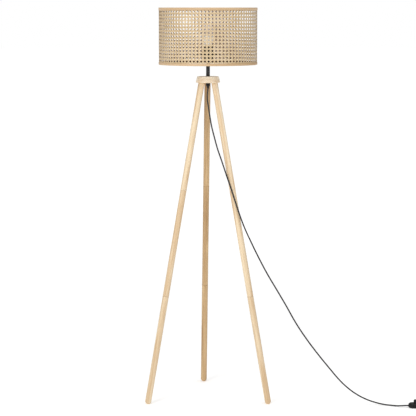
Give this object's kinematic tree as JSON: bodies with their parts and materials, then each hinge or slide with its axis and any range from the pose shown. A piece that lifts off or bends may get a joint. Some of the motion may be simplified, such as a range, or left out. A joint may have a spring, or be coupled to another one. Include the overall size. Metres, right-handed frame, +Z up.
{
  "type": "tripod floor lamp",
  "caption": "Floor lamp on three jointed round wooden legs with a drum shade of woven cane, an inline foot switch and a plug.",
  "frame": {"origin": "on the floor, under the middle of the stand and shade's footprint, cord left out", "axes": "+Z up; -Y towards the front of the lamp, where two legs and the foot switch are; +X to the right"},
  "size_m": [1.1815, 0.4918, 1.52],
  "materials": {
    "pale_wood": "sanded, clear matt varnish",
    "band_wood": "satin veneer",
    "cane": "natural woven cane, satin",
    "steel": "zinc plated",
    "brass": "plain",
    "bulb_metal": "rolled thread",
    "black_metal": "fine powder coat",
    "black_plastic": "moulded",
    "black_cord": "smooth PVC sheath",
    "white_plastic": "moulded",
    "frosted_plastic": "frosted, translucent",
    "shade_wire": "satin paint"
  },
  "bodies": {
    "stand": {"hub": "pale_wood", "stem_tube": "black_metal", "threaded_rod": "steel", "rod_nut": "steel", "rod_washer": "steel", "cord_gland": "black_plastic", "inner_lead": "black_cord", "holder_cap": "black_plastic", "holder_shell": "black_plastic", "shade_ring_nut": "black_plastic", "holder_core": "white_plastic", "screw_shell": "brass", "centre_contact": "brass", "terminal_screw_left": "steel", "terminal_screw_right": "steel", "shade_webbing": "cane", "shade_top_ring": "shade_wire", "shade_spider": "shade_wire", "shade_top_band": "band_wood", "shade_bottom_band": "band_wood", "cord_drop": "black_cord", "cord_tail": "black_cord", "cord_end": "black_cord", "cord_coil": "black_cord", "cord_tie": "black_plastic", "switch_base": "black_plastic", "switch_cover": "black_plastic", "switch_module": "white_plastic", "switch_spring": "steel", "switch_screw_left": "steel", "switch_screw_right": "steel", "plug_body": "black_plastic", "plug_pin_left": "steel", "plug_pin_right": "steel", "leg_upper_left": "pale_wood", "leg_middle_left": "pale_wood", "leg_lower_left": "pale_wood", "leg_top_stud_left": "steel", "upper_joint_stud_left": "steel", "lower_joint_stud_left": "steel", "leg_upper_right": "pale_wood", "leg_middle_right": "pale_wood", "leg_lower_right": "pale_wood", "leg_top_stud_right": "steel", "upper_joint_stud_right": "steel", "lower_joint_stud_right": "steel", "leg_upper_rear": "pale_wood", "leg_middle_rear": "pale_wood", "leg_lower_rear": "pale_wood", "leg_top_stud_rear": "steel", "upper_joint_stud_rear": "steel", "lower_joint_stud_rear": "steel"},
    "bulb_screw": {"bulb_tip": "black_plastic"},
    "bulb": {"bulb_cap": "bulb_metal", "bulb_housing": "white_plastic", "led_board": "white_plastic", "bulb_diffuser": "frosted_plastic"},
    "switch_button": {"switch_button": "black_plastic"}
  },
  "joints": [
    {"name": "bulb_lift", "type": "slide", "parent": "stand", "child": "bulb_screw", "axis": [0, 0, 1], "range_m": [0, 0.0218]},
    {"name": "bulb_turn", "type": "hinge", "parent": "bulb_screw", "child": "bulb", "pos_m": [0, -0.04387, 1.4], "axis": [0, 0, 1], "range_deg": [0, 2160]},
    {"name": "switch_press", "type": "slide", "parent": "stand", "child": "switch_button", "axis": [0, 0, 1], "range_m": [-0.003, 0], "stiffness_N_per_m": 800, "springref_m": 0.002, "deforming": ["switch_spring"]}
  ],
  "couplings": [
    {"joint": "bulb_lift", "follows": "bulb_turn", "m_per_rad": 0.00057758}
  ]
}
